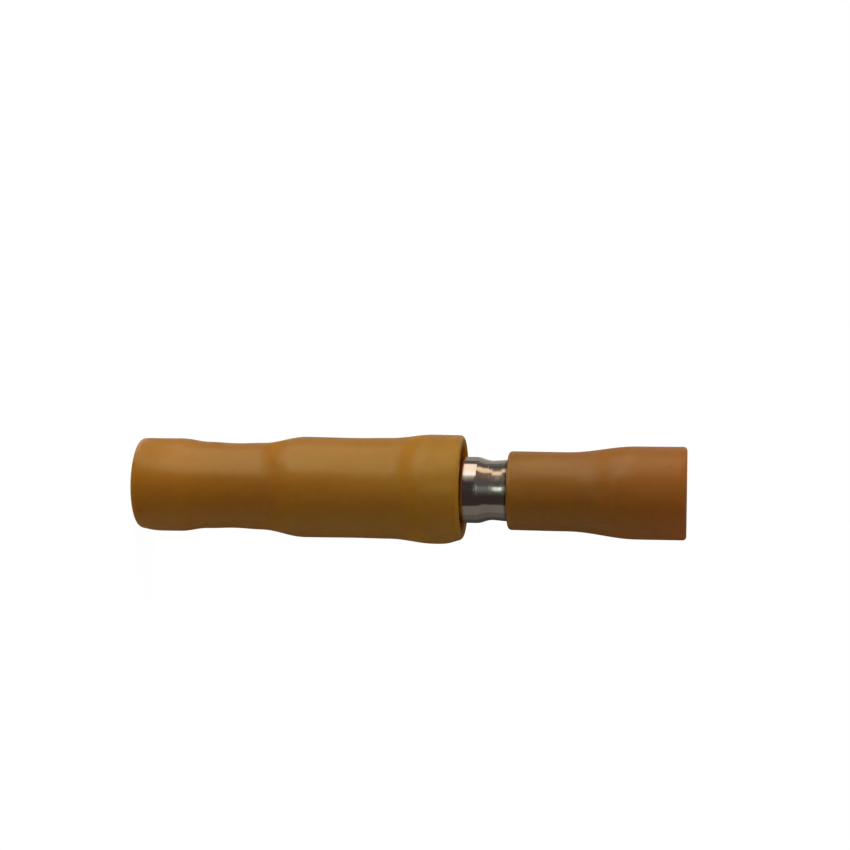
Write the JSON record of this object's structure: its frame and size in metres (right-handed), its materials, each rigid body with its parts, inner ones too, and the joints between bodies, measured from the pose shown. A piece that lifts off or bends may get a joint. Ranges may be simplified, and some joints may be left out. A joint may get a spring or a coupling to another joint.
{
  "type": "round crimp terminal",
  "caption": "Insulated bullet crimp connector: a tinned bullet plug half pushed into a bell-mouthed receptacle, each in a yellow-brown vinyl sleeve with a crimp barrel for a wire.",
  "frame": {"origin": "centre of the receptacle's wire end, on the surface that the connector stands on", "axes": "+Z along the connector's axis, up from the receptacle's wire end to the plug's wire end; +Y towards the socket's open seam"},
  "size_m": [0.0082, 0.0082, 0.0413],
  "materials": {
    "receptacle_vinyl": "soft semi-matte yellow-brown vinyl",
    "plug_vinyl": "soft semi-matte orange-brown vinyl",
    "tinned_brass": "bright tin plating on rolled brass"
  },
  "bodies": {
    "receptacle": {"receptacle_sleeve": "receptacle_vinyl", "receptacle_terminal": "tinned_brass"},
    "plug": {"plug_sleeve": "plug_vinyl", "plug_terminal": "tinned_brass"}
  },
  "joints": [
    {"name": "plug_slide", "type": "slide", "parent": "receptacle", "child": "plug", "axis": [0, 0, 1], "range_m": [-0.0051, 0.01]}
  ]
}
